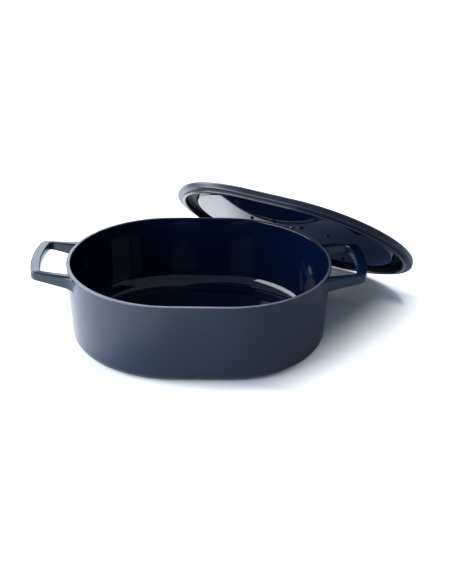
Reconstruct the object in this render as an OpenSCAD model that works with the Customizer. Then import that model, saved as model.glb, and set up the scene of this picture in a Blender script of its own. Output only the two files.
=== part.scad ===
// Covered casserole dish: an oval cast dish with two loop handles, and its lid
// leaning on the dish's rim with the underside to the front.
// The origin is the centre of the dish's underside, +X along its length.

/* [Dish] */
// Length of the rim, handles left out
dish_l = 280; // [240:1:340]
// Width of the rim, which is also the diameter of its round ends
dish_w = 224; // [180:1:236]
// Height of the rim over the table
dish_h = 87; // [70:1:120]
// Thickness of the wall at the rim
wall = 4.3; // [3.5:0.1:6]
// Thickness of the floor
floor_t = 5; // [4:0.1:8]
// How far the wall leans in from the rim to the table
draft = 4.5; // [1:0.1:8]
// Radius between the wall and the underside
base_r = 10; // [4:0.5:14]
// Radius between the wall and the floor inside
floor_r = 18; // [10:0.5:28]
// Rounding of the rim's two edges
rim_r = 1.3; // [0.6:0.1:1.6]

/* [Handles] */
// How far each handle stands out from the end of the rim
handle_reach = 36.5; // [30:0.5:50]
// Width of each handle where its arms meet the wall
handle_w = 94; // [80:1:120]
// How much each arm's outer flank leans in towards the outer bar
handle_taper = 9; // [4:0.5:12]
// How far the finger opening's flanks lie inside the handle's, at the outer bar
loop_inset = 2.5; // [2.4:0.1:6]
// Width of the outer bar, seen from above
bar_w = 10.5; // [8:0.5:16]
// Height of the outer bar
bar_h = 9; // [7:0.5:14]
// Height of an arm where it meets the wall
root_h = 15.5; // [10:0.5:24]
// Depth of the handle's flat top under the rim, at the wall
handle_drop = 2.7; // [1:0.1:6]
// How far the flat top climbs from the wall to the outer bar
handle_rise = 4; // [0:0.1:8]
// Radius of the bow of the outer bar
bow_r = 160; // [110:1:240]
// Radius of the handle's outer corners
corner_r = 6; // [4:0.5:12]
// Radius of the finger opening's corners
loop_r = 6; // [4:0.5:12]
// Rounding of the handle's edges
handle_edge_r = 1.8; // [0.8:0.1:2]
// Fillet where an arm runs into the wall
root_flare = 5; // [2:0.5:8]

/* [Lid] */
// How far the lid stands out past the rim
overhang = 1.8; // [0.5:0.1:5]
// Height of the lid's side
lid_side = 8.4; // [7.5:0.1:14]
// Rounding of the lid's lower outer edge
lid_edge_r = 1.4; // [0.8:0.1:2.4]
// Rounding of the lid's upper outer edge
lid_top_r = 4.5; // [1:0.1:6]
// Thickness of the lid's plate
plate_t = 4.6; // [3.5:0.1:6]
// Depth of the panel over the seat flange
panel_recess = 2; // [1:0.1:3]
// Depth of the channel round the panel, measured from the panel
channel_depth = 3; // [1:0.1:4]
// Width of the channel
channel_w = 14; // [6:0.5:18]
// Height of the locating rib under the seat flange
rib_h = 2.6; // [1.5:0.1:5]
// Thickness of the locating rib
rib_t = 3.4; // [2.5:0.1:5]
// Gap between the rib and the dish's wall when the lid is on
rib_gap = 1; // [0.5:0.1:2]
// Distance of the ring of nubs from the lid's long axis
nub_ring_r = 25; // [15:0.5:40]
// Distance between neighbouring nubs on the ring
nub_pitch = 33; // [25:0.5:45]
// Distance of the outer nubs from the lid's short axis
nub_row_x = 46; // [20:1:60]
// Distance of the outer nubs from the lid's long axis
nub_row_y = 73; // [55:1:78]
// Radius of a nub at the panel
nub_r = 2.6; // [1.5:0.1:4]
// Height of a nub
nub_h = 2; // [1:0.1:3]

/* [Knob] */
// Diameter of the knob
knob_d = 40; // [30:1:56]
// Height of the knob over the lid
knob_h = 27; // [24:1:40]
// Diameter of the knob's foot
knob_foot_d = 22; // [21:1:28]
// Diameter of the knob's waist
knob_waist_d = 17; // [14:0.5:20]
// Nominal diameter of the knob's screw
screw_d = 5; // [4:0.5:6]
// Length of the screw under its washer
screw_l = 16; // [14:0.5:18]
// Clearance of the screw in the lid, on the diameter
screw_play = 0.6; // [0.3:0.1:1]

/* [Lean] */
// Angle of the lid to the table
lean_angle = 40; // [36:0.5:44]
// Dip of the lid's right end
lean_dip = 2.3; // [0:0.1:4]
// How far the lid is turned to the right of the dish's length
lean_turn = 26.5; // [20:0.5:32]
// Place of the lid's centre along the dish's length
lean_x = 106; // [95:1:120]
// Gap left between the leaning lid and the dish's rim
rest_gap = 0.5; // [0.3:0.1:2]

/* [Hidden] */

$fn = 96;
// Turn of each short side of a rounded corner in a profile, in degrees
arc_step = 15;
// Steps of a handle's fillet, straight flank, corner, half bow and edge rounding
flare_steps = 5;
flank_steps = 3;
corner_steps = 6;
bow_steps = 3;
edge_steps = 3;
// Length by which one solid reaches into another that it is joined to or cut from
bite = 1;

// Dish: the plan is two half circles joined by straight sides
dish_r = dish_w / 2;
half_straight = (dish_l - dish_w) / 2;
slope = draft / dish_h;
inner_r = dish_r - wall;

// Handles
tip_x = dish_l / 2 + handle_reach;
tip_y = handle_w / 2 - handle_taper;
loop_y = tip_y - loop_inset;
handle_top = dish_h - handle_drop;
flare_len = 2 * root_flare;
// Where an arm's filleted flank meets the middle of the wall, and where an arm starts inside the dish
root_x = half_straight + sqrt(pow(dish_r - wall / 2, 2) - pow(handle_w / 2 + root_flare, 2));
start_x = root_x - 2 * wall;

// Lid, drawn level with its seat flange at height 0
lid_r = dish_r + overhang;
rib_out = inner_r - rib_gap;
rib_in = rib_out - rib_t;
panel_r = rib_in - channel_w;
channel_z = panel_recess + channel_depth;
plate_top = panel_recess + plate_t;
plate_round = plate_t / 3;
rib_round = 0.45 * rib_t;
nub_ball_r = (pow(nub_r, 2) + pow(nub_h, 2)) / (2 * nub_h);

// Knob: a foot, a waist that flares into the grip, and a domed crown
foot_h = knob_h / 9;
foot_round = foot_h / 4;
waist_z = 1.7 * foot_h;
waist_round = knob_waist_d / 4;
grip_r = knob_d / 2;
grip_z = 0.62 * knob_h;
grip_round = knob_d / 16;
flare_h = 0.15 * knob_h;
flare_round = 0.3 * knob_waist_d;
shoulder_z = knob_h - foot_h;
shoulder_round = knob_d / 10;
crown_flat_r = 0.4 * grip_r;
crown_round = knob_d / 2;

// The knob's screw, washer and insert
washer_r = 1.2 * screw_d;
washer_t = screw_d / 5;
insert_r = 0.9 * screw_d;
// Room left in the insert past the screw's end
screw_end_gap = 0.12 * screw_d;
insert_l = screw_l - plate_t - washer_t + screw_end_gap;
head_r = 0.95 * screw_d;
head_h = 0.6 * screw_d;
hole_r = (screw_d + screw_play) / 2;
thread_play = screw_d / 50;
washer_z = panel_recess - washer_t;

// Lean: direction cosines of the lid's own axes
lean = [-lean_angle, lean_dip, -lean_turn];
up_x = -sin(lean[1]);
up_y = cos(lean[1]) * sin(lean[0]);
up_z = cos(lean[1]) * cos(lean[0]);
top_x = cos(lean[2]) * sin(lean[1]) * cos(lean[0]) + sin(lean[2]) * sin(lean[0]);
top_y = sin(lean[2]) * sin(lean[1]) * cos(lean[0]) - cos(lean[2]) * sin(lean[0]);
top_z = up_z;

// Farthest reach, along a direction, of a stadium of end radius r whose edge at height z is
// rounded by e, with the rounding's centre on the inner side of the edge
function reach(dx, dy, dz, r, z, e, side) =
    half_straight * abs(dx) + (r - e) * norm([dx, dy]) + (z - side * e) * dz + e;

// The lid's lower edge stands on the table, and its panel stands rest_gap over the rim or, where that
// is higher, over the handle's outer corner
lean_z = reach(up_x, up_y, -up_z, lid_r, 0, lid_edge_r, -1);
rim_reach = reach(top_x, top_y, top_z, dish_r, dish_h, rim_r, 1);
corner_reach = [tip_x, tip_y, handle_top + handle_rise] * [top_x, top_y, top_z];
lean_reach = max(rim_reach, corner_reach) + rest_gap - panel_recess;
lean_y = (lean_reach - lean_x * top_x - lean_z * top_z) / top_y;

// Points of a polyline [x, y, radius] with each corner rounded by its radius
function rounded(p) = [for (i = [0 : len(p) - 1]) each
    p[i][2] == 0 ? [[p[i][0], p[i][1]]]
                 : corner(p[(i + len(p) - 1) % len(p)], p[i], p[(i + 1) % len(p)], p[i][2])];
function unit(v) = v / norm(v);
function flat(p) = [p[0], p[1]];
function corner(a, b, c, r) =
    let (u = unit(flat(a) - flat(b)), v = unit(flat(c) - flat(b)))
    let (half = acos(u * v) / 2, middle = flat(b) + unit(u + v) * r / sin(half))
    let (from = flat(b) + u * r / tan(half) - middle, way = u[0] * v[1] - u[1] * v[0] > 0 ? -1 : 1)
    let (turn = 180 - 2 * half, n = max(2, ceil(turn / arc_step)))
    [for (k = [0 : n]) let (a = way * turn * k / n)
        middle + [from[0] * cos(a) - from[1] * sin(a), from[0] * sin(a) + from[1] * cos(a)]];

// A solid of stadium plan from a profile of (distance from the long axis, height)
module stadium() {
    for (s = [-1, 1])
        translate([s * half_straight, 0, 0]) rotate(-90 * s) rotate_extrude(angle = 180) children();
    translate([-half_straight, 0, 0]) rotate([90, 0, 90]) linear_extrude(2 * half_straight) {
        children();
        mirror([1, 0]) children();
    }
}

module dish_outside() {
    stadium() polygon(rounded([
        [0, 0, 0], [dish_r - draft, 0, base_r], [dish_r, dish_h, rim_r], [0, dish_h, 0]]));
}

module dish_inside() {
    mouth = inner_r + 1.2 * rim_r;
    stadium() polygon(rounded([
        [0, floor_t, 0], [inner_r - slope * (dish_h - floor_t), floor_t, floor_r],
        [inner_r, dish_h, rim_r], [mouth, dish_h, 0], [mouth, dish_h + bite, 0], [0, dish_h + bite, 0]]));
}

// One half of a handle's outline seen from above, from inside the dish to the middle of the bar: a
// straight flank, a corner of radius r and a bowed end. The flank is at root_y from the long axis at the
// wall and would be at tip_y at the end of the bow, and grow widens it into the wall's fillet
function half_outline(root_y, tip_y, end_x, r, bow, grow) =
    let (m = (root_y - tip_y) / (end_x - root_x), bow_x = end_x - bow)
    let (y0 = m * (bow_x - root_x) - root_y + r * sqrt(1 + m * m))
    let (cx = (sqrt((1 + m * m) * pow(bow - r, 2) - y0 * y0) - m * y0) / (1 + m * m), cy = y0 + m * cx)
    let (first = atan(m), last = 90 + asin(cy / (bow - r)), turn_x = bow_x + cx - r * sin(first))
    concat(
        [[start_x, -root_y - grow * root_flare]],
        [for (k = [0 : flare_steps]) let (h = 90 * k / flare_steps, x = root_x + flare_len * (1 - cos(h)))
            [x, m * (x - root_x) - root_y - grow * root_flare * (1 - sin(h))]],
        [for (k = [1 : flank_steps - 1])
            let (x = root_x + flare_len + (turn_x - root_x - flare_len) * k / flank_steps)
            [x, m * (x - root_x) - root_y]],
        [for (k = [0 : corner_steps]) let (h = first + (last - first) * k / corner_steps)
            [bow_x + cx + r * sin(h), cy - r * cos(h)]],
        [for (k = [1 : bow_steps]) let (h = (last - 90) * (1 - k / bow_steps))
            [bow_x + bow * cos(h), bow * sin(h)]]);
function whole_outline(half) =
    concat(half, [for (k = [2 : len(half)]) let (p = half[len(half) - k]) [p[0], -p[1]]]);

// Heights of the handle's top and underside, which follow the distance from the wall
function along(x) = max(0, min(1, (x - root_x) / (tip_x - bar_w - root_x)));
function fillet_drop(x) = x > root_x + flare_len ? 0
    : root_flare * (1 - sqrt(1 - pow(min(1, 1 - (x - root_x) / flare_len), 2)));
function top_at(x) = handle_top + handle_rise * along(x);
function under_at(x) = top_at(x) - root_h + (root_h - bar_h) * along(x) - fillet_drop(x);

// The handle's cross-section between a point of the outer outline and one of the opening's: a
// rectangle with rounded corners
function section(outer, inner) =
    let (across = unit(outer - inner), w = norm(outer - inner), mid = (outer + inner) / 2, e = handle_edge_r)
    let (high = top_at(mid[0]), low = under_at(mid[0]))
    [for (q = [0 : 3], k = [0 : edge_steps])
        let (a = 90 * (q + k / edge_steps), side = q == 0 || q == 3 ? 1 : -1)
        let (p = mid + across * (side * (w / 2 - e) + e * cos(a)))
        [p[0], p[1], (q < 2 ? high - e : low + e) + e * sin(a)]];

module handle() {
    outer = whole_outline(half_outline(handle_w / 2, tip_y, tip_x, corner_r, bow_r, 1));
    inner = whole_outline(half_outline(loop_y, loop_y, tip_x - bar_w, loop_r, bow_r - bar_w, -1));
    rings = [for (i = [0 : len(outer) - 1]) section(outer[i], inner[i])];
    m = len(rings[0]);
    last = (len(rings) - 1) * m;
    sides = [for (i = [0 : len(rings) - 2], j = [0 : m - 1])
        let (a = i * m + j, b = i * m + (j + 1) % m) each [[a, b, b + m], [a, b + m, a + m]]];
    caps = [for (j = [1 : m - 2]) each [[0, j + 1, j], [last, last + j, last + j + 1]]];
    polyhedron([for (r = rings) each r], concat(sides, caps));
}

module pot() {
    color("#3a424e") difference() {
        union() {
            dish_outside();
            handle();
            mirror([1, 0, 0]) handle();
        }
        dish_inside();
    }
}

// Places on the lid of the nubs: a ring that follows the outline, and a row near each long side
function ring_point(d) = d <= half_straight ? [d, nub_ring_r]
    : let (a = (d - half_straight) / nub_ring_r * 180 / PI)
      [half_straight + nub_ring_r * sin(a), nub_ring_r * cos(a)];
nub_places = [for (sx = [-1, 1], sy = [-1, 1]) each [
    let (p = ring_point(nub_pitch / 2)) [sx * p[0], sy * p[1]],
    let (p = ring_point(nub_pitch * 1.5)) [sx * p[0], sy * p[1]],
    [sx * nub_row_x, sy * nub_row_y]]];

module leaning() {
    translate([lean_x, lean_y, lean_z]) rotate(lean) children();
}

module lid() {
    step = channel_depth;
    color("#2c323b") leaning() difference() {
        union() {
            stadium() polygon(rounded([
                [0, panel_recess, 0], [panel_r, panel_recess, plate_round],
                [panel_r + step, channel_z, plate_round], [rib_in, channel_z, plate_round],
                [rib_in, -rib_h, rib_round], [rib_out, -rib_h, rib_round], [rib_out, 0, 0],
                [lid_r, 0, lid_edge_r], [lid_r, lid_side, lid_top_r],
                [panel_r + 2 * step, lid_side, plate_round], [panel_r + step, plate_top, plate_round],
                [0, plate_top, 0]]));
            for (p = nub_places) translate([p[0], p[1], panel_recess])
                intersection() {
                    translate([0, 0, nub_ball_r - nub_h]) sphere(nub_ball_r);
                    translate([0, 0, bite - nub_h]) cylinder(h = 2 * nub_h, r = 2 * nub_r, center = true);
                }
        }
        translate([0, 0, panel_recess - bite]) cylinder(h = plate_t + 2 * bite, r = hole_r);
    }
}

module knob() {
    color("#202226") leaning() translate([0, 0, plate_top]) difference() {
        rotate_extrude() polygon(rounded([
            [0, 0, 0], [knob_foot_d / 2, 0, foot_round], [knob_foot_d / 2, foot_h, foot_round],
            [knob_waist_d / 2, waist_z, waist_round], [knob_waist_d / 2, grip_z - flare_h, flare_round],
            [grip_r, grip_z, grip_round], [grip_r, shoulder_z, shoulder_round],
            [crown_flat_r, knob_h, crown_round], [0, knob_h, 0]]));
        translate([0, 0, -bite]) cylinder(h = insert_l + bite, r = insert_r);
    }
}

module knob_insert() {
    color("#b08d4c") leaning() translate([0, 0, plate_top]) difference() {
        cylinder(h = insert_l, r = insert_r);
        translate([0, 0, -bite]) cylinder(h = insert_l + 2 * bite, r = screw_d / 2);
    }
}

module screw_washer() {
    color("#b9bcc0") leaning() translate([0, 0, washer_z]) difference() {
        cylinder(h = washer_t, r = washer_r);
        translate([0, 0, -bite]) cylinder(h = washer_t + 2 * bite, r = hole_r);
    }
}

module knob_screw() {
    drive_r = 0.45 * screw_d;
    color("#c4c7cb") leaning() translate([0, 0, washer_z]) difference() {
        union() {
            rotate_extrude() polygon(rounded([
                [0, 0, 0], [0, -head_h, 0], [head_r, -head_h, head_h * 0.6], [head_r, 0, 0]]));
            cylinder(h = screw_l, r = screw_d / 2 - thread_play);
        }
        translate([0, 0, -head_h - bite]) cylinder(h = 0.6 * head_h + bite, r = drive_r, $fn = 6);
    }
}

pot();
lid();
knob();
knob_insert();
knob_screw();
screw_washer();
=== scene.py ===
from math import acos, asin, atan, ceil, cos, degrees, pi, radians, sin, sqrt, tan

import bmesh
import bpy
from mathutils import Euler, Matrix, Vector


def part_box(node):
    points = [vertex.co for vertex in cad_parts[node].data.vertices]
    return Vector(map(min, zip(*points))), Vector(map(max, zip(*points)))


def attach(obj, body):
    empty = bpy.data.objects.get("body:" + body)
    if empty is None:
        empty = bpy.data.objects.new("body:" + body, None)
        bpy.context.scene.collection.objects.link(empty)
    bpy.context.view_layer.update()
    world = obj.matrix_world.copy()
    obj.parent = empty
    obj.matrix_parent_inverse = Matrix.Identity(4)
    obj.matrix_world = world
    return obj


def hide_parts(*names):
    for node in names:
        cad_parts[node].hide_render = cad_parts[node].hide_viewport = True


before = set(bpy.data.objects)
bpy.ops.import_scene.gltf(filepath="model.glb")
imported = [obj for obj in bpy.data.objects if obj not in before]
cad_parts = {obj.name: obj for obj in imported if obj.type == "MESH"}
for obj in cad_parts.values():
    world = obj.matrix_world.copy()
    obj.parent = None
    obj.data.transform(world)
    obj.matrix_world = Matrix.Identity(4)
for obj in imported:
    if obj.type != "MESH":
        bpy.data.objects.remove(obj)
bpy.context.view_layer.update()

# The dish: one iron casting with both loop handles, two half circles joined by straight sides in plan.
# Satin slate enamel outside, a bare grey rim, gloss black-blue enamel inside.
# The handles grow out of the wall with a cast fillet, so wall and handles are one skin.
mm = 0.001
dish_r = 112 * mm
half_straight = 28 * mm
dish_h = 87 * mm
wall = 4.3 * mm
floor_t = 5 * mm
draft = 4.5 * mm
base_r = 10 * mm
floor_r = 18 * mm
rim_r = 1.3 * mm
slope = draft / dish_h
inner_r = dish_r - wall
OUTSIDE, RIM, INSIDE = 0, 1, 2
# Degrees of one side of a casting's roundings, and steps along each straight side
arc_step = 9
straight_steps = 14
# Edges that turn further than the first are shaded sharp, points nearer than the second are merged, and
# edges shorter than the third are taken out
sharp_angle = radians(40)
same_place = 1e-6
no_length = 1e-7


def rounded(corners, step):
    """Points of a profile of corners (distance, height, radius, zone), each corner turned as an arc with a
    side every step degrees, and the zone of the stretch after each point."""
    points, zones = [], []
    for i, (r, z, radius, zone) in enumerate(corners):
        here = Vector((r, z))
        if radius == 0:
            points.append(here)
            zones.append(zone)
            continue
        before = (Vector(corners[i - 1][:2]) - here).normalized()
        after = (Vector(corners[(i + 1) % len(corners)][:2]) - here).normalized()
        half = acos(max(-1, min(1, before.dot(after)))) / 2
        middle = here + (before + after).normalized() * radius / sin(half)
        start = here + before * radius / tan(half) - middle
        turn = pi - 2 * half
        way = -1 if before.cross(after) > 0 else 1
        sides = max(2, ceil(degrees(turn) / step))
        for k in range(sides + 1):
            points.append(middle + Matrix.Rotation(way * turn * k / sides, 2) @ start)
            zones.append(zone)
    return points, zones


def stadium_columns(turns):
    """Directions round a stadium, counter-clockwise: (x of the axis, x share, y share) of each column.
    turns are the degrees of the right end's columns, from -90 to 90."""
    along = [half_straight * (1 - 2 * k / straight_steps) for k in range(1, straight_steps)]
    right = [(half_straight, cos(radians(t)), sin(radians(t))) for t in turns]
    left = [(-half_straight, -cos(radians(t)), sin(radians(t))) for t in reversed(turns)]
    far = [(x, 0, 1) for x in along]
    near = [(-x, 0, -1) for x in along]
    return right + far + left + near


def ring_of(mesh, r, z, columns):
    return [mesh.verts.new((axis + r * dx, r * dy, z)) for axis, dx, dy in columns]


def skin(mesh, rings, zones, left_out=()):
    """Quads between neighbouring closed rings, apart from the cells (ring, column) left out."""
    count = len(rings[0])
    for i in range(len(rings) - 1):
        for j in range(count):
            if (i, j) in left_out:
                continue
            k = (j + 1) % count
            face = mesh.faces.new((rings[i][j], rings[i][k], rings[i + 1][k], rings[i + 1][j]))
            face.material_index = zones[i]
            face.smooth = True


def finished(mesh, name, materials, place=Matrix()):
    """The closed mesh as an object at the origin, with its doubles merged and its flat faces shaded flat."""
    bmesh.ops.remove_doubles(mesh, verts=mesh.verts, dist=same_place)
    bmesh.ops.dissolve_degenerate(mesh, edges=mesh.edges, dist=no_length)
    bmesh.ops.recalc_face_normals(mesh, faces=mesh.faces)
    for edge in mesh.edges:
        edge.smooth = edge.calc_face_angle(0) < sharp_angle
    mesh.transform(place)
    rough = bpy.data.meshes.new(name)
    mesh.to_mesh(rough)
    mesh.free()
    for material in materials:
        rough.materials.append(material)
    obj = bpy.data.objects.new(name, rough)
    bpy.context.scene.collection.objects.link(obj)
    shading = obj.modifiers.new("shading", "WEIGHTED_NORMAL")
    shading.keep_sharp = True
    depsgraph = bpy.context.evaluated_depsgraph_get()
    obj.data = bpy.data.meshes.new_from_object(obj.evaluated_get(depsgraph))
    obj.modifiers.remove(shading)
    bpy.data.meshes.remove(rough)
    obj.data.name = name
    return obj


# Sizes of the handles
handle_w = 94 * mm
handle_taper = 9 * mm
handle_reach = 36.5 * mm
loop_inset = 2.5 * mm
bar_w = 10.5 * mm
bar_h = 9 * mm
root_h = 15.5 * mm
handle_drop = 2.7 * mm
handle_rise = 4 * mm
bow_r = 160 * mm
corner_r = 6 * mm
handle_edge_r = 1.8 * mm
root_flare = 5 * mm
handle_top = dish_h - handle_drop
tip_x = half_straight + dish_r + handle_reach
tip_y = handle_w / 2 - handle_taper
loop_y = tip_y - loop_inset
root_x = half_straight + sqrt((dish_r - wall / 2) ** 2 - (handle_w / 2 + root_flare) ** 2)
# Fillet of an arm's root: how far it spreads over the wall, and how far along the arm it runs,
# on the outer flank, the opening's flank, the top and the underside
spread_out, spread_in, spread_top, spread_under = 5 * mm, 2.5 * mm, 0.8 * mm, 4 * mm
run_out, run_in, run_top, run_under = 9 * mm, 3 * mm, 0.8 * mm, 6 * mm
# Steps along a handle: over the fillet, the arm, the corner and half of the bowed bar
fillet_steps, arm_steps, corner_steps, bow_steps = 7, 9, 12, 14
# Sides of a handle's section: of each rounded corner, of the flat top, of a flat flank
corner_sides, top_sides, flank_sides = 6, 3, 4
# The patch of the wall that an arm's root takes: its degrees round the end and its heights
patch_start = 15.8
patch_turn = 1.42
patch_turns = [patch_start + patch_turn * k for k in range(corner_sides + top_sides + 1)]
patch_drop = 1.5 * mm
patch_step = 2.3 * mm
patch_rows = corner_sides + flank_sides
patch_heights = [dish_h - patch_drop - patch_step * (patch_rows - k) for k in range(patch_rows + 1)]


def wall_r(z):
    return dish_r - slope * (dish_h - z)


def wall_x(y, z):
    """How far out the wall's face is at the dish's end."""
    return half_straight + sqrt(wall_r(z) ** 2 - y ** 2)


def outline(root_y, end_y, end_x, radius, bow):
    """Half of an outline seen from above: its flank as a function of x, then the points of its corner and
    of its bowed end up to the middle."""
    m = (root_y - end_y) / (end_x - root_x)
    bow_x = end_x - bow
    y0 = m * (bow_x - root_x) - root_y + radius * sqrt(1 + m * m)
    cx = (sqrt((1 + m * m) * (bow - radius) ** 2 - y0 * y0) - m * y0) / (1 + m * m)
    cy = y0 + m * cx
    first = atan(m)
    last = pi / 2 + asin(cy / (bow - radius))
    points = []
    for k in range(corner_steps + 1):
        h = first + (last - first) * k / corner_steps
        points.append(Vector((bow_x + cx + radius * sin(h), cy - radius * cos(h))))
    for k in range(1, bow_steps + 1):
        h = (last - pi / 2) * (1 - k / bow_steps)
        points.append(Vector((bow_x + bow * cos(h), bow * sin(h))))

    def flank(x):
        return m * (x - root_x) - root_y

    return flank, points


def places_around():
    """Places round a handle's section: (across, up) of the rounding's centre as shares of the half width and
    the half height, and the angle of the face there."""
    places = []
    for quarter in range(4):
        across = 1 if quarter in (0, 3) else -1
        up = 1 if quarter < 2 else -1
        for k in range(corner_sides + 1):
            places.append((across, up, radians(90 * (quarter + k / corner_sides))))
        level = quarter % 2 == 0
        sides = top_sides if level else flank_sides
        for k in range(1, sides):
            slide = 1 - 2 * k / sides
            spot = (across * slide, up) if level else (across, up * slide)
            places.append((*spot, radians(90 * (quarter + 1))))
    return places


around = places_around()


def section(outer, inner, spread=0):
    """A rounded rectangle between a point of the outer outline and one of the opening's, widened by a
    share of the root's fillet."""
    middle = (outer + inner) / 2
    across = (outer - inner).normalized()
    width = (outer - inner).length
    along = max(0, min(1, (middle.x - root_x) / (tip_x - bar_w - root_x)))
    top = handle_top + handle_rise * along
    height = root_h + (bar_h - root_h) * along
    points = []
    for share_w, share_h, angle in around:
        c, s = cos(angle), sin(angle)
        w = share_w * (width / 2 - handle_edge_r) + handle_edge_r * c
        h = share_h * (height / 2 - handle_edge_r) + handle_edge_r * s
        w += spread * c * (spread_out if c > 0 else spread_in)
        h += spread * s * (spread_top if s > 0 else spread_under)
        flat = middle + across * w
        points.append(Vector((flat.x, flat.y, top - height / 2 + h)))
    return points


def root_sections(outer_flank, inner_flank):
    """Sections of an arm's fillet, from the wall's face outwards, and the last one's ends on the flanks."""
    level = handle_top - root_h / 2
    settling_rounds = 4
    sections = []
    for k in range(fillet_steps + 1):
        turn = pi / 2 * k / fillet_steps
        ends = []
        for flank, run in ((outer_flank, run_out), (inner_flank, run_in)):
            x = wall_x(flank(root_x), level)
            for _ in range(settling_rounds):
                x = wall_x(flank(x), level) + run * (1 - cos(turn))
            ends.append(Vector((x, flank(x))))
        ring = section(*ends, spread=1 - sin(turn))
        for p, (_, _, angle) in zip(ring, around):
            c, s = cos(angle), sin(angle)
            run_w = c * (run_out if c > 0 else run_in)
            run_h = s * (run_top if s > 0 else run_under)
            p.x = wall_x(p.y, p.z) + sqrt(run_w ** 2 + run_h ** 2) * (1 - cos(turn))
        sections.append(ring)
    return sections, ends


def handle_sections():
    """All sections of the right handle, from the near arm's root round the bar to the far arm's."""
    outer_flank, outer = outline(handle_w / 2, tip_y, tip_x, corner_r, bow_r)
    inner_flank, inner = outline(loop_y, loop_y, tip_x - bar_w, corner_r, bow_r - bar_w)
    sections, (outer_end, inner_end) = root_sections(outer_flank, inner_flank)
    last_root = sections[-1]
    unbent_root = section(outer_end, inner_end)
    for k in range(1, arm_steps):
        t = k / arm_steps
        straight = section(outer_end.lerp(outer[0], t), inner_end.lerp(inner[0], t))
        # The root's sections are bent to the wall, and straighten out along the arm
        bend = (1 - t) ** 2
        sections.append([p + (q - b) * bend for p, q, b in zip(straight, last_root, unbent_root)])
    sections += [section(o, i) for o, i in zip(outer, inner)]
    flipped = [[Vector((p.x, -p.y, p.z)) for p in ring] for ring in reversed(sections[:-1])]
    return sections + flipped


# Columns round the dish: the patches' own degrees, and even steps between them
column_step = 2.2


def even(start, end):
    """Degrees in even steps from start, up to the one before end."""
    count = max(1, round((end - start) / column_step))
    return [start + (end - start) * k / count for k in range(count)]


quarter_turns = even(0, patch_turns[0]) + patch_turns[:-1] + even(patch_turns[-1], 90) + [90]
dish_turns = [-t for t in reversed(quarter_turns)][:-1] + quarter_turns
dish_columns = stadium_columns(dish_turns)
# Rows of the outer wall below the patches, a ninth of the height up to them apart and clear of the base
low_rows, low_first, low_parts = 7, 1.6, 9
low_heights = [patch_heights[0] * (k + low_first) / low_parts for k in range(low_rows)]
# Rows of the inner wall, from the rim down
inner_rows, inner_first, inner_step = 8, 5 * mm, 7 * mm
inner_heights = [dish_h - inner_first - inner_step * k for k in range(inner_rows)]
# Rings on the flat underside and on the floor inside
base_rings = (0, 40 * mm, 80 * mm)
floor_rings = (64 * mm, 32 * mm, 0)
floor_in = inner_r - slope * (dish_h - floor_t)
dish_corners = (
    [(r, 0, 0, OUTSIDE) for r in base_rings]
    + [(dish_r - draft, 0, base_r, OUTSIDE)]
    + [(wall_r(z), z, 0, OUTSIDE) for z in low_heights + patch_heights]
    + [(dish_r, dish_h, rim_r, RIM), (inner_r, dish_h, rim_r, INSIDE)]
    + [(inner_r - slope * (dish_h - z), z, 0, INSIDE) for z in inner_heights]
    + [(floor_in, floor_t, floor_r, INSIDE)]
    + [(r, floor_t, 0, INSIDE) for r in floor_rings]
)
dish_profile, dish_zones = rounded(dish_corners, arc_step)
# The slate enamel comes up round the rim's outer edge, and only its top is bare
bare_from = dish_h - rim_r / 2
for row, point in enumerate(dish_profile):
    if dish_zones[row] == RIM and point.y < bare_from:
        dish_zones[row] = OUTSIDE
dish_mesh = bmesh.new()
dish_rings = [ring_of(dish_mesh, p.x, p.y, dish_columns) for p in dish_profile]
patch_corner = Vector((wall_r(patch_heights[0]), patch_heights[0]))
first_row = min(range(len(dish_profile)), key=lambda row: (dish_profile[row] - patch_corner).length)
# Column numbers of the right end's patches, from the opening's flank outwards
near_columns = [dish_turns.index(-t) for t in patch_turns]
far_columns = [dish_turns.index(t) for t in patch_turns]
left_first = len(dish_turns) + straight_steps - 1


def right_column(j):
    return j


def left_column(j):
    """The left end's column that mirrors column j of the right end."""
    return left_first + len(dish_turns) - 1 - j


def patch_edge(columns):
    """Vertices round a patch in the order of a section's points."""
    last_u, last_v = len(columns) - 1, patch_rows
    half = corner_sides // 2
    walk = [(last_u, v) for v in range(last_v - half, last_v)]
    walk += [(u, last_v) for u in range(last_u, 0, -1)]
    walk += [(0, v) for v in range(last_v, 0, -1)]
    walk += [(u, 0) for u in range(last_u)]
    walk += [(last_u, v) for v in range(last_v - half)]
    return [dish_rings[first_row + v][columns[u]] for u, v in walk]


cut = set()
for end_column in (right_column, left_column):
    for patch in (near_columns, far_columns):
        patch_columns = sorted(end_column(j) for j in patch)
        cut |= {(first_row + v, j) for v in range(patch_rows) for j in patch_columns[:-1]}
skin(dish_mesh, dish_rings, dish_zones, left_out=cut)
right_handle = handle_sections()
for flip, end_column in ((1, right_column), (-1, left_column)):
    loops = [patch_edge([end_column(j) for j in near_columns])]
    loops += [[dish_mesh.verts.new((flip * p.x, p.y, p.z)) for p in ring] for ring in right_handle]
    loops += [patch_edge([end_column(j) for j in far_columns])]
    skin(dish_mesh, loops, [OUTSIDE] * len(loops))


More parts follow.
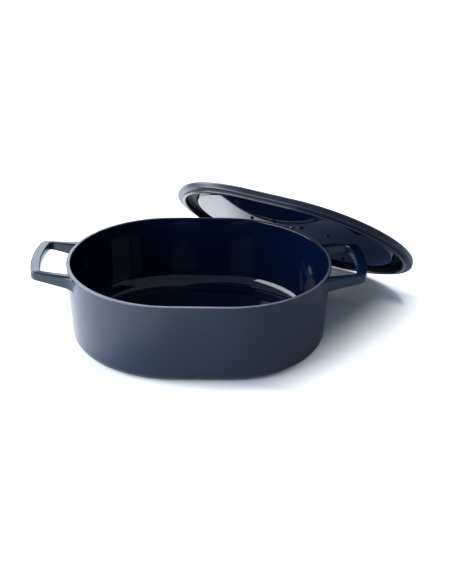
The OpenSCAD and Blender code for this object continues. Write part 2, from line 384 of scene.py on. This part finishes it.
def drifting(name, scale, detail, tones, glosses):
    """A material whose colour drifts between two tones over the piece, and its roughness with it."""
    material = bpy.data.materials.new(name)
    material.use_nodes = True
    nodes, links = material.node_tree.nodes, material.node_tree.links
    shader = nodes["Principled BSDF"]
    drift = nodes.new("ShaderNodeTexNoise")
    drift.inputs["Scale"].default_value = scale
    drift.inputs["Detail"].default_value = detail
    links.new(nodes.new("ShaderNodeTexCoord").outputs["Object"], drift.inputs["Vector"])
    tint = nodes.new("ShaderNodeMix")
    tint.data_type = "RGBA"
    gloss = nodes.new("ShaderNodeMapRange")
    for tone, colour in zip("AB", tones):
        tint.inputs[tone].default_value = (*colour, 1)
    for limit, roughness in zip(("To Min", "To Max"), glosses):
        gloss.inputs[limit].default_value = roughness
    links.new(drift.outputs["Fac"], tint.inputs["Factor"])
    links.new(drift.outputs["Fac"], gloss.inputs["Value"])
    links.new(tint.outputs["Result"], shader.inputs["Base Color"])
    links.new(gloss.outputs["Result"], shader.inputs["Roughness"])
    return material


def enamel(name, colour, roughness, grain, relief, ior=1.5):
    """Fired enamel: its colour and gloss drift softly over the piece, and a fine grain of the given relief
    bumps it."""
    tint_spread, gloss_spread = 0.12, 0.1
    drift_scale, drift_detail, grit_detail = 45, 3, 2
    tones = [[c * (1 + way * tint_spread) for c in colour] for way in (-1, 1)]
    glosses = [roughness * (1 + way * gloss_spread) for way in (-1, 1)]
    material = drifting(name, drift_scale, drift_detail, tones, glosses)
    nodes, links = material.node_tree.nodes, material.node_tree.links
    shader = nodes["Principled BSDF"]
    shader.inputs["IOR"].default_value = ior
    grit = nodes.new("ShaderNodeTexNoise")
    grit.inputs["Scale"].default_value = 1 / grain
    grit.inputs["Detail"].default_value = grit_detail
    links.new(nodes["Texture Coordinate"].outputs["Object"], grit.inputs["Vector"])
    bump = nodes.new("ShaderNodeBump")
    bump.inputs["Distance"].default_value = relief
    links.new(grit.outputs["Fac"], bump.inputs["Height"])
    links.new(bump.outputs["Normal"], shader.inputs["Normal"])
    return material


slate_satin = enamel("slate_satin_enamel", (0.001, 0.0105, 0.028), 0.31, 0.6 * mm, 0.012 * mm, ior=1.46)
bare_rim = enamel("bare_rim", (0.11, 0.108, 0.138), 0.42, 0.5 * mm, 0.01 * mm)
navy_gloss = enamel("navy_gloss_enamel", (0.0005, 0.0042, 0.0175), 0.06, 6 * mm, 0.005 * mm)
dish = finished(dish_mesh, "dish_casting", [slate_satin, bare_rim, navy_gloss])
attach(dish, "dish")
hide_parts("pot")

# The lid: one iron casting, flat, with a rounded side, a seat flange, a locating rib that drops inside the
# dish's wall, a channel and a raised panel. Satin slate enamel outside, gloss on the rib and the panel, and
# in the channel a near-black dull enamel that is painted shade for the recess. It leans on the dish's rim
# with its lower edge on the table.
lid_overhang = 1.8 * mm
lid_side = 8.4 * mm
lid_edge_r = 1.4 * mm
lid_top_r = 4.5 * mm
panel_z = 2 * mm
panel_step = 3 * mm
plate_t = 4.6 * mm
plate_round = 1.5 * mm
rib_h = 2.6 * mm
rib_t = 3.4 * mm
rib_gap = 1 * mm
channel_w = 14 * mm
hole_r = 2.8 * mm
washer_t = 1 * mm
lid_r = dish_r + lid_overhang
channel_z = panel_z + panel_step
plate_top = panel_z + plate_t
rib_out = inner_r - rib_gap
rib_in = rib_out - rib_t
# The rib's edge is rounded to little less than a half circle
rib_round = rib_t / 2.2
panel_r = rib_in - channel_w
# Rings on the flat of the plate, and steps round each end
plate_rings = (30 * mm, 62 * mm)
lid_end_steps = 96
# The lid's place: its own level frame has the seat flange at height 0, and the washer lies on the panel
lean_angles = Euler((radians(-40), radians(2.3), radians(-26.5)))
lean = lean_angles.to_matrix()
washer_low, washer_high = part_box("screw_washer")
washer_middle = Vector((0, 0, panel_z - washer_t / 2))
lid_place = Matrix.Translation((washer_low + washer_high) / 2 - lean @ washer_middle) @ lean.to_4x4()

SATIN, GLOSS, CHANNEL, RIB = 0, 1, 2, 3
lid_corners = (
    [(r, panel_z, 0, GLOSS) for r in plate_rings]
    + [(panel_r, panel_z, plate_round, GLOSS), (panel_r + panel_step, channel_z, plate_round, CHANNEL)]
    + [(rib_in, channel_z, plate_round, CHANNEL), (rib_in, -rib_h, rib_round, RIB)]
    + [(rib_out, -rib_h, rib_round, RIB), (rib_out, 0, 0, SATIN), (lid_r, 0, lid_edge_r, SATIN)]
    + [(lid_r, lid_side, lid_top_r, SATIN), (panel_r + 2 * panel_step, lid_side, plate_round, SATIN)]
    + [(panel_r + panel_step, plate_top, plate_round, SATIN)]
    + [(r, plate_top, 0, SATIN) for r in reversed(plate_rings)]
)
lid_profile, lid_zones = rounded(lid_corners, arc_step)
lid_columns = stadium_columns([-90 + 180 * k / lid_end_steps for k in range(lid_end_steps + 1)])
# The screw's hole is round, with its points in line with the columns of the panel
hole_ways = [Vector((axis + panel_r * dx, panel_r * dy)).normalized() for axis, dx, dy in lid_columns]
hole_columns = [(0, way.x, way.y) for way in hole_ways]
lid_mesh = bmesh.new()
hole_low = ring_of(lid_mesh, hole_r, panel_z, hole_columns)
hole_high = ring_of(lid_mesh, hole_r, plate_top, hole_columns)
lid_rings = [ring_of(lid_mesh, p.x, p.y, lid_columns) for p in lid_profile]
skin(lid_mesh, [hole_low] + lid_rings + [hole_high, hole_low], [GLOSS] + lid_zones + [SATIN])
lid_satin = enamel("lid_satin_enamel", (0.004, 0.008, 0.022), 0.31, 0.8 * mm, 0.012 * mm)
lid_gloss = enamel("lid_gloss_enamel", (0.0015, 0.006, 0.022), 0.05, 7 * mm, 0.004 * mm)
# Painted shade in the channel: its enamel is near black and dull, darker than the panel's gloss
channel_painted_shade = enamel("lid_channel_enamel", (0.0003, 0.0008, 0.008), 0.5, 2 * mm, 0.02 * mm, ior=1.2)
rib_enamel = enamel("lid_rib_enamel", (0.004, 0.01, 0.026), 0.2, 0.8 * mm, 0.03 * mm)
lid = finished(lid_mesh, "lid_casting", [lid_satin, lid_gloss, channel_painted_shade, rib_enamel], lid_place)
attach(lid, "lid")
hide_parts("lid")

# The drip nubs: small domes cast on the lid's panel, eight on a ring that follows the outline and two near
# each long side. Gloss enamel, drawn out into a thin foot where it meets the panel.
nub_ring_r = 25 * mm
nub_pitch = 33 * mm
nub_row_x = 46 * mm
nub_row_y = 73 * mm
nub_r = 2.6 * mm
nub_h = 2 * mm
nub_foot = 0.5 * mm
nub_sunk = 0.3 * mm
# The foot flares out as this power of the way down
foot_power = 6
# Nubs in each quarter of the lid, then sides round a nub and steps down it
nubs_on_ring, nubs_in_row = 2, 1
nub_sides, nub_steps = 40, 16
nub_tree = bpy.data.node_groups.new("drip_nubs", "GeometryNodeTree")
nub_tree.interface.new_socket("Geometry", in_out="OUTPUT", socket_type="NodeSocketGeometry")
nub_sizes = {
    "Ring radius": nub_ring_r, "Pitch": nub_pitch, "Half straight": half_straight, "Row x": nub_row_x,
    "Row y": nub_row_y, "Ball radius": (nub_r ** 2 + nub_h ** 2) / (2 * nub_h), "Height": nub_h,
    "Foot": nub_foot, "Sunk": nub_sunk, "Panel": panel_z,
}
nub_sockets = {name: nub_tree.interface.new_socket(name, in_out="INPUT", socket_type="NodeSocketFloat")
               for name in nub_sizes}
nub_nodes, nub_links = nub_tree.nodes, nub_tree.links
given = nub_nodes.new("NodeGroupInput").outputs


def sums_in(tree):
    """A function that adds a Math node on sockets or plain numbers to the tree, and gives its output."""
    def sum_of(operation, *values):
        node = tree.nodes.new("ShaderNodeMath")
        node.operation = operation
        for value, socket in zip(values, node.inputs):
            if isinstance(value, (int, float)):
                socket.default_value = value
            else:
                tree.links.new(value, socket)
        return node.outputs[0]

    return sum_of


def vector_of(x, y, z):
    node = nub_nodes.new("ShaderNodeCombineXYZ")
    for value, socket in zip((x, y, z), node.inputs):
        nub_links.new(value, socket)
    return node.outputs[0]


def placed(geometry, position):
    node = nub_nodes.new("GeometryNodeSetPosition")
    nub_links.new(geometry, node.inputs["Geometry"])
    nub_links.new(position, node.inputs["Position"])
    return node.outputs["Geometry"]


# One nub: a sheet rolled up round the axis, its length the way from the dome's top to its foot and back in
nub_sum = sums_in(nub_tree)
sheet = nub_nodes.new("GeometryNodeMeshGrid")
sheet.inputs["Vertices X"].default_value = nub_sides + 1
sheet.inputs["Vertices Y"].default_value = nub_steps + 1
sheet_spot = nub_nodes.new("ShaderNodeSeparateXYZ")
nub_links.new(nub_nodes.new("GeometryNodeInputPosition").outputs[0], sheet_spot.inputs[0])
roll = nub_sum("MULTIPLY", sheet_spot.outputs["X"], 2 * pi)
way_down = nub_sum("ADD", sheet_spot.outputs["Y"], 0.5)
way_down = nub_sum("MULTIPLY", way_down, nub_steps / (nub_steps - 1))
ball = given["Ball radius"]
lowest = nub_sum("SUBTRACT", ball, given["Height"])
widest = nub_sum("ARCCOSINE", nub_sum("DIVIDE", nub_sum("SUBTRACT", lowest, given["Sunk"]), ball))
tilt = nub_sum("MULTIPLY", way_down, widest)
flare = nub_sum("MULTIPLY", given["Foot"], nub_sum("POWER", way_down, foot_power))
reach = nub_sum("ADD", nub_sum("MULTIPLY", ball, nub_sum("SINE", tilt)), flare)
reach = nub_sum("MULTIPLY", reach, nub_sum("LESS_THAN", way_down, 1 + 0.5 / nub_steps))
drop = nub_sum("SUBTRACT", lowest, nub_sum("MULTIPLY", ball, nub_sum("COSINE", tilt)))
drop = nub_sum("MINIMUM", drop, given["Sunk"])
roll_x = nub_sum("MULTIPLY", reach, nub_sum("COSINE", roll))
roll_y = nub_sum("MULTIPLY", reach, nub_sum("SINE", roll))
nub = placed(sheet.outputs["Mesh"], vector_of(roll_x, roll_y, drop))
# Their places: the index gives the quarter of the lid, and whether the nub is on the ring or in the row
index = nub_nodes.new("GeometryNodeInputIndex").outputs[0]
side_x = nub_sum("SUBTRACT", 1, nub_sum("MULTIPLY", 2, nub_sum("MODULO", index, 2)))
half_index = nub_sum("FLOOR", nub_sum("DIVIDE", index, 2))
side_y = nub_sum("SUBTRACT", 1, nub_sum("MULTIPLY", 2, nub_sum("MODULO", half_index, 2)))
kind = nub_sum("FLOOR", nub_sum("DIVIDE", index, 4))
ring_way = nub_sum("MULTIPLY", given["Pitch"], nub_sum("ADD", kind, 0.5))
ring_straight = nub_sum("MINIMUM", ring_way, given["Half straight"])
ring_turn = nub_sum("DIVIDE", nub_sum("SUBTRACT", ring_way, ring_straight), given["Ring radius"])
ring_x = nub_sum("ADD", ring_straight, nub_sum("MULTIPLY", given["Ring radius"], nub_sum("SINE", ring_turn)))
ring_y = nub_sum("MULTIPLY", given["Ring radius"], nub_sum("COSINE", ring_turn))
in_row = nub_sum("GREATER_THAN", kind, nubs_on_ring - 0.5)
on_ring = nub_sum("SUBTRACT", 1, in_row)
nub_x = nub_sum("ADD", nub_sum("MULTIPLY", on_ring, ring_x), nub_sum("MULTIPLY", in_row, given["Row x"]))
nub_y = nub_sum("ADD", nub_sum("MULTIPLY", on_ring, ring_y), nub_sum("MULTIPLY", in_row, given["Row y"]))
nub_x = nub_sum("MULTIPLY", side_x, nub_x)
nub_y = nub_sum("MULTIPLY", side_y, nub_y)
spots = nub_nodes.new("GeometryNodePoints")
spots.inputs["Count"].default_value = 4 * (nubs_on_ring + nubs_in_row)
copies = nub_nodes.new("GeometryNodeInstanceOnPoints")
nub_links.new(placed(spots.outputs[0], vector_of(nub_x, nub_y, given["Panel"])), copies.inputs["Points"])
nub_links.new(nub, copies.inputs["Instance"])
real = nub_nodes.new("GeometryNodeRealizeInstances")
nub_links.new(copies.outputs[0], real.inputs[0])
coated = nub_nodes.new("GeometryNodeSetMaterial")
coated.inputs["Material"].default_value = lid_gloss
nub_links.new(real.outputs[0], coated.inputs["Geometry"])
nub_links.new(coated.outputs[0], nub_nodes.new("NodeGroupOutput").inputs[0])
nub_seed = bpy.data.objects.new("nub_seed", bpy.data.meshes.new("nub_seed"))
bpy.context.scene.collection.objects.link(nub_seed)
growth = nub_seed.modifiers.new("drip_nubs", "NODES")
growth.node_group = nub_tree
for name, socket in nub_sockets.items():
    growth[socket.identifier] = nub_sizes[name]
grown = bpy.data.meshes.new_from_object(nub_seed.evaluated_get(bpy.context.evaluated_depsgraph_get()))
bpy.data.objects.remove(nub_seed)
nub_mesh = bmesh.new()
nub_mesh.from_mesh(grown)
for face in nub_mesh.faces:
    face.smooth = True
nubs = finished(nub_mesh, "lid_nubs", [lid_gloss], lid_place)
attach(nubs, "lid")

# The washer and the socket screw that hold the knob, put in from the lid's underside: bright stainless
# steel. The washer lies on the panel, and the screw goes through the lid into the knob's insert.
washer_r = 6 * mm
washer_edge = 0.25 * mm
head_r = 4.75 * mm
head_h = 3 * mm
head_edge = 0.6 * mm
head_seat_edge = 0.2 * mm
socket_r = 2.25 * mm
socket_depth = 1.8 * mm
socket_edge = 0.15 * mm
screw_r = 2.4 * mm
screw_l = 16 * mm
thread_pitch = 0.8 * mm
thread_depth = 0.42 * mm
washer_z = panel_z - washer_t
head_z = washer_z - head_h
screw_end = washer_z + screw_l
thread_start = plate_top - thread_pitch
# Sides round the screw's axis, rings to a turn of the thread, and degrees of one side of a rounding
screw_sides = 60
rings_per_pitch = 10
head_arc_step, turned_arc_step = 15, 12


def angles_round(sides):
    return [2 * pi * k / sides for k in range(sides)]


def round_columns(sides):
    """Directions round an axis, in the form that stadium_columns gives."""
    return [(0, cos(a), sin(a)) for a in angles_round(sides)]


def turned_metal(name, tones, roughness):
    """Turned metal, with fine marks in its tone and its gloss."""
    mark_scale, mark_detail, gloss_spread = 900, 4, 0.2
    glosses = [roughness * (1 + way * gloss_spread) for way in (-1, 1)]
    material = drifting(name, mark_scale, mark_detail, tones, glosses)
    material.node_tree.nodes["Principled BSDF"].inputs["Metallic"].default_value = 1
    return material


def turned_piece(corners, sides, name, material):
    """A ring or a solid of revolution from a profile of corners, on the lid's axis."""
    points, zones = rounded(corners, turned_arc_step)
    mesh = bmesh.new()
    rings = [ring_of(mesh, p.x, p.y, round_columns(sides)) for p in points]
    if points[0].x > 0:
        rings.append(rings[0])
    skin(mesh, rings, zones)
    return finished(mesh, name, [material], lid_place)


bright_steel = turned_metal("bright_steel", ((0.5, 0.51, 0.53), (0.66, 0.67, 0.68)), 0.2)
washer_corners = ((hole_r, washer_z), (washer_r, washer_z), (washer_r, panel_z), (hole_r, panel_z))
washer = turned_piece(
    [(r, z, washer_edge, 0) for r, z in washer_corners], screw_sides, "screw_washer_ring", bright_steel)
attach(washer, "lid")
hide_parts("screw_washer")


def hexagon(a):
    """Distance to a hexagon's side at angle a, for a hexagon of the socket's size."""
    return socket_r * cos(pi / 6) / cos((a + pi / 6) % (pi / 3) - pi / 6)


def thread(a, z):
    """Distance from the axis to the thread's flank at angle a and height z, fading out at both ends."""
    fade = max(0, min(1, (z - thread_start) / thread_pitch))
    point = max(0, (z - screw_end + thread_pitch) / thread_pitch)
    turn = (z / thread_pitch - a / (2 * pi)) % 1
    return screw_r - thread_depth * max(point, fade * abs(2 * turn - 1))


screw_mesh = bmesh.new()
screw_angles = angles_round(screw_sides)
screw_columns = round_columns(screw_sides)


def shaped_ring(distances, z):
    """A ring of the screw at height z, with a distance from the axis of its own at each angle."""
    return [screw_mesh.verts.new((d * cos(a), d * sin(a), z)) for d, a in zip(distances, screw_angles)]


head_profile, _ = rounded([
    (socket_r + socket_edge, head_z, 0, 0), (head_r, head_z, head_edge, 0),
    (head_r, washer_z, head_seat_edge, 0), (screw_r, washer_z, 0, 0), (screw_r, thread_start, 0, 0)],
    head_arc_step)
socket_floor = head_z + socket_depth
screw_rings = [ring_of(screw_mesh, 0, socket_floor, screw_columns)]
for ring_z in (socket_floor, head_z + socket_edge):
    screw_rings.append(shaped_ring([hexagon(a) for a in screw_angles], ring_z))
screw_rings += [ring_of(screw_mesh, p.x, p.y, screw_columns) for p in head_profile]
thread_l = screw_end - thread_start
thread_rings = round(thread_l / thread_pitch * rings_per_pitch)
for k in range(1, thread_rings + 1):
    ring_z = screw_end - thread_l * (1 - k / thread_rings)
    screw_rings.append(shaped_ring([thread(a, ring_z) for a in screw_angles], ring_z))
screw_rings.append(ring_of(screw_mesh, 0, screw_end, screw_columns))
skin(screw_mesh, screw_rings, [0] * len(screw_rings))
screw = finished(screw_mesh, "knob_screw_socket_head", [bright_steel], lid_place)
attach(screw, "lid")
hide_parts("knob_screw")

# The knob: a black phenolic moulding on the lid's top, with a foot, a waist and a wide crowned grip.
# It is moulded round its insert, and the screw draws it down on the lid.
knob_r = 20 * mm
knob_h = 27 * mm
foot_r = 11 * mm
foot_h = knob_h / 9
foot_low_edge = 0.8 * mm
foot_edge = 1.2 * mm
waist_r = 8.5 * mm
waist_rise = 2 * mm
waist_round = 4 * mm
grip_z = 0.62 * knob_h
grip_flare = 4 * mm
grip_flare_round = 5 * mm
grip_edge = 2.5 * mm
crown_h = 3 * mm
crown_edge = 4 * mm
crown_flat_r = 0.4 * knob_r
crown_round = 20 * mm
insert_r = 4.5 * mm
insert_l = 11 * mm
bore_edge = 0.2 * mm
knob_sides = 96
# Distance from the axis, height over the lid's top, rounding
knob_corners = (
    (0, insert_l, 0), (insert_r, insert_l, 0), (insert_r, 0, bore_edge),
    (foot_r, 0, foot_low_edge), (foot_r, foot_h, foot_edge),
    (waist_r, foot_h + waist_rise, waist_round), (waist_r, grip_z - grip_flare, grip_flare_round),
    (knob_r, grip_z, grip_edge), (knob_r, knob_h - crown_h, crown_edge),
    (crown_flat_r, knob_h, crown_round), (0, knob_h, 0),
)


def phenolic(name):
    """Black phenolic: satin, with faint flow marks in its tone and its gloss."""
    flow_scale, flow_detail, flow_swirl = 120, 6, 1.5
    tones = ((0.008, 0.0082, 0.009), (0.016, 0.016, 0.0175))
    glosses = (0.29, 0.42)
    material = drifting(name, flow_scale, flow_detail, tones, glosses)
    material.node_tree.nodes["Noise Texture"].inputs["Distortion"].default_value = flow_swirl
    return material


knob = turned_piece(
    [(r, plate_top + z, radius, 0) for r, z, radius in knob_corners],
    knob_sides, "knob_grip", phenolic("black_phenolic"))
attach(knob, "lid")
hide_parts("knob")

# The insert: a threaded brass sleeve, turned and moulded into the knob, that takes the screw.
# Nothing of it shows with the knob in place, so the frame's own solid stands for it in a brass finish.
turned_brass = turned_metal("turned_brass", ((0.5, 0.34, 0.13), (0.64, 0.46, 0.2)), 0.36)
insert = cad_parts["knob_insert"]
insert.data.materials.clear()
insert.data.materials.append(turned_brass)

# The table: matt white paper that runs far out on all sides, a hair under the dish.
# To the eye it is white from a step away, and in an oval round the dish and the lid it keeps their shadow.
# In the enamel it shows white to the left, behind and ahead. Under the lid's right end it shows painted
# shade: the paper's colour turns deep blue there in reflections only.
table_reach = 6
table_drop = 0.2 * mm
paper_colour = (0.82, 0.85, 0.9, 1)
# Painted shade: the deep blue that the paper turns to in reflections under the lid's right end
painted_shade_blue = (0.25, 0.36, 0.62, 1)
# The oval that keeps the shadow, and the slanted line at its front right where it ends
oval_middle = Vector((0.035, 0.025))
oval_reach = (0.215, 0.136)
oval_edge = (0.97, 1.24)
slant_x, slant_y = 0.8, -0.6
slant_edge = (0.105, 0.2)
# The painted shade under the lid's end, as shares of the end's reach: its outer edge, and how far back
# it starts
shade_edge = (0.93, 1)
shade_start = (0.2, 0.5)
# The white that the enamel mirrors ends at a line left of the dish, which runs off to the right behind it
# and ahead of it: the line's run behind, its offsets behind, beside and ahead, and its soft edge
behind_run = 0.85
behind_from, beside, ahead_from = 0.04, -0.02, 0.17
mirror_edge = (0.07, 0.13)
table_sheet = bmesh.new()
bmesh.ops.create_grid(table_sheet, x_segments=1, y_segments=1, size=table_reach)
table_mesh = bpy.data.meshes.new("table")
table_sheet.to_mesh(table_mesh)
table_sheet.free()
table_mesh.transform(Matrix.Translation((0, 0, -table_drop)))
table = bpy.data.objects.new("table", table_mesh)
bpy.context.scene.collection.objects.link(table)
paper = bpy.data.materials.new("white_paper")
paper.use_nodes = True
paper_nodes, paper_links = paper.node_tree.nodes, paper.node_tree.links
paper_sum = sums_in(paper.node_tree)
matt = paper_nodes["Principled BSDF"]
matt.inputs["Roughness"].default_value = 0.9
matt.inputs["Specular IOR Level"].default_value = 0.1
ray = paper_nodes.new("ShaderNodeLightPath").outputs
table_spot = paper_nodes.new("ShaderNodeTexCoord").outputs["Object"]


def share(value, low, high):
    """A smooth step from 0 at low to 1 at high."""
    step = paper_nodes.new("ShaderNodeMapRange")
    step.interpolation_type = "SMOOTHSTEP"
    step.inputs["From Min"].default_value = low
    step.inputs["From Max"].default_value = high
    paper_links.new(value, step.inputs["Value"])
    return step.outputs["Result"]


def measured_from(middle, reach, turn=0):
    """The place on the table from middle, on axes turned by turn, as shares of the reach along each."""
    node = paper_nodes.new("ShaderNodeMapping")
    node.vector_type = "TEXTURE"
    node.inputs["Location"].default_value = (middle.x, middle.y, 0)
    node.inputs["Rotation"].default_value = (0, 0, turn)
    node.inputs["Scale"].default_value = (*reach, 1)
    paper_links.new(table_spot, node.inputs["Vector"])
    return node.outputs["Vector"]


def length_of(vector):
    node = paper_nodes.new("ShaderNodeVectorMath")
    node.operation = "LENGTH"
    paper_links.new(vector, node.inputs[0])
    return node.outputs["Value"]


def x_and_y(vector):
    node = paper_nodes.new("ShaderNodeSeparateXYZ")
    paper_links.new(vector, node.inputs[0])
    return node.outputs["X"], node.outputs["Y"]


table_x, table_y = x_and_y(table_spot)
away = length_of(measured_from(oval_middle, oval_reach))
slant = paper_sum("ADD", paper_sum("MULTIPLY", table_x, slant_x), paper_sum("MULTIPLY", table_y, slant_y))
white = paper_sum("MAXIMUM", share(away, *oval_edge), share(slant, *slant_edge))
lid_end_reach = (lid_r, lid_r * cos(lean_angles.x))
lid_end_spot = measured_from(lid_place @ Vector((half_straight, 0, 0)), lid_end_reach, lean_angles.z)
_, lid_end_y = x_and_y(lid_end_spot)
in_end = paper_sum("SUBTRACT", 1, share(length_of(lid_end_spot), *shade_edge))
under_lid = paper_sum("MULTIPLY", in_end, share(lid_end_y, *shade_start))
white = paper_sum("MULTIPLY", white, paper_sum("SUBTRACT", 1, under_lid))
seen = paper_sum("MAXIMUM", ray["Is Camera Ray"], ray["Is Transmission Ray"])
seen = paper_sum("MULTIPLY", seen, white)
behind = paper_sum("SUBTRACT", paper_sum("MULTIPLY", table_y, behind_run), behind_from)
ahead = paper_sum("SUBTRACT", paper_sum("MULTIPLY", table_y, -1), ahead_from)
white_from = paper_sum("MAXIMUM", paper_sum("MAXIMUM", behind, beside), ahead)
mirrored = share(paper_sum("SUBTRACT", white_from, table_x), *mirror_edge)
mirrored = paper_sum("MULTIPLY", ray["Is Glossy Ray"], mirrored)
glow = paper_nodes.new("ShaderNodeEmission")
paper_links.new(paper_sum("MAXIMUM", seen, mirrored), glow.inputs["Strength"])
# The paper's colour turns to the painted blue shade in reflections under the lid's right end
shade = paper_nodes.new("ShaderNodeMix")
shade.data_type = "RGBA"
shade.inputs["A"].default_value = paper_colour
shade.inputs["B"].default_value = painted_shade_blue
paper_links.new(paper_sum("MULTIPLY", ray["Is Glossy Ray"], under_lid), shade.inputs["Factor"])
paper_links.new(shade.outputs["Result"], matt.inputs["Base Color"])
both = paper_nodes.new("ShaderNodeAddShader")
paper_links.new(matt.outputs["BSDF"], both.inputs[0])
paper_links.new(glow.outputs["Emission"], both.inputs[1])
paper_links.new(both.outputs["Shader"], paper_nodes["Material Output"].inputs["Surface"])
table_mesh.materials.append(paper)

# The studio: walls in blue-white light, brightest low down behind and to the left, and white to the eye.
# Two soft boxes light the dish from the left, a near one low at its side and a wide one further behind.
wall_light = (0.66, 0.82, 1, 1)
brightest_way = (-0.45, 0.7, -0.5)
# The walls' strength away from the brightest way and towards it, and how far the change between them reaches
wall_strengths = (0.38, 0.85)
wall_span = 0.8
world = bpy.data.worlds.new("studio")
world.use_nodes = True
world_nodes, world_links = world.node_tree.nodes, world.node_tree.links
walls = world_nodes["Background"]
walls.inputs["Color"].default_value = wall_light
heading = world_nodes.new("ShaderNodeVectorMath")
heading.operation = "DOT_PRODUCT"
heading.inputs[1].default_value = brightest_way
world_links.new(world_nodes.new("ShaderNodeTexCoord").outputs["Generated"], heading.inputs[0])
strength = world_nodes.new("ShaderNodeMapRange")
strength.interpolation_type = "SMOOTHSTEP"
strength.inputs["From Min"].default_value = -wall_span
strength.inputs["From Max"].default_value = wall_span
for limit, value in zip(("To Min", "To Max"), wall_strengths):
    strength.inputs[limit].default_value = value
world_links.new(heading.outputs["Value"], strength.inputs["Value"])
world_links.new(strength.outputs["Result"], walls.inputs["Strength"])
backdrop = world_nodes.new("ShaderNodeBackground")
backdrop.inputs["Color"].default_value = (1, 1, 1, 1)
room = world_nodes.new("ShaderNodeMixShader")
world_links.new(world_nodes.new("ShaderNodeLightPath").outputs["Is Camera Ray"], room.inputs[0])
world_links.new(walls.outputs[0], room.inputs[1])
world_links.new(backdrop.outputs[0], room.inputs[2])
world_links.new(room.outputs[0], world_nodes["World Output"].inputs["Surface"])
bpy.context.scene.world = world
lamp_aim = Vector((0.03, 0, 0.05))


def soft_box(name, azimuth, elevation, distance, width, height, radiance, colour):
    """A rectangular lamp that faces the dish from azimuth degrees to the right of the front."""
    a, e = radians(azimuth), radians(elevation)
    towards = Vector((sin(a) * cos(e), -cos(a) * cos(e), sin(e)))
    lamp = bpy.data.lights.new(name, "AREA")
    lamp.shape = "RECTANGLE"
    lamp.size, lamp.size_y = width, height
    lamp.energy = radiance * pi * width * height
    lamp.color = colour
    box = bpy.data.objects.new(name, lamp)
    bpy.context.scene.collection.objects.link(box)
    turned = towards.to_track_quat("Z", "Y").to_matrix().to_4x4()
    box.matrix_world = Matrix.Translation(lamp_aim + towards * distance) @ turned


soft_box("left", azimuth=-78, elevation=19, distance=1, width=1.3, height=0.72,
         radiance=8.3, colour=(0.95, 0.98, 1))
soft_box("back", azimuth=-155, elevation=30, distance=3, width=3.4, height=0.9,
         radiance=6.4, colour=(0.82, 0.9, 1))

# The camera: in front of the dish and aimed to the right of its middle, looking down at it.
# Its focal length is given in pixels of a frame that is 575 pixels high.
camera_tilt = radians(26.86)
camera_turn = radians(-0.99)
camera_roll = radians(1.01)
camera_range = 1.1
camera_aim = Vector((27.8, 0, 52.9)) * mm
focal_px = 1025
frame_h = 575
flat_range = cos(camera_tilt)
camera_back = Vector((sin(camera_turn) * flat_range, -cos(camera_turn) * flat_range, sin(camera_tilt)))
camera_right = Vector((cos(camera_turn), sin(camera_turn), 0))
camera_axes = Matrix((camera_right, camera_back.cross(camera_right), camera_back)).transposed()
camera_axes = camera_axes @ Matrix.Rotation(camera_roll, 3, "Z")
lens = bpy.data.cameras.new("camera")
lens.lens = focal_px * lens.sensor_width / frame_h
camera = bpy.data.objects.new("camera", lens)
camera.matrix_world = Matrix.Translation(camera_aim + camera_back * camera_range) @ camera_axes.to_4x4()
bpy.context.scene.collection.objects.link(camera)
bpy.context.scene.camera = camera
bpy.context.scene.view_settings.view_transform = "Standard"
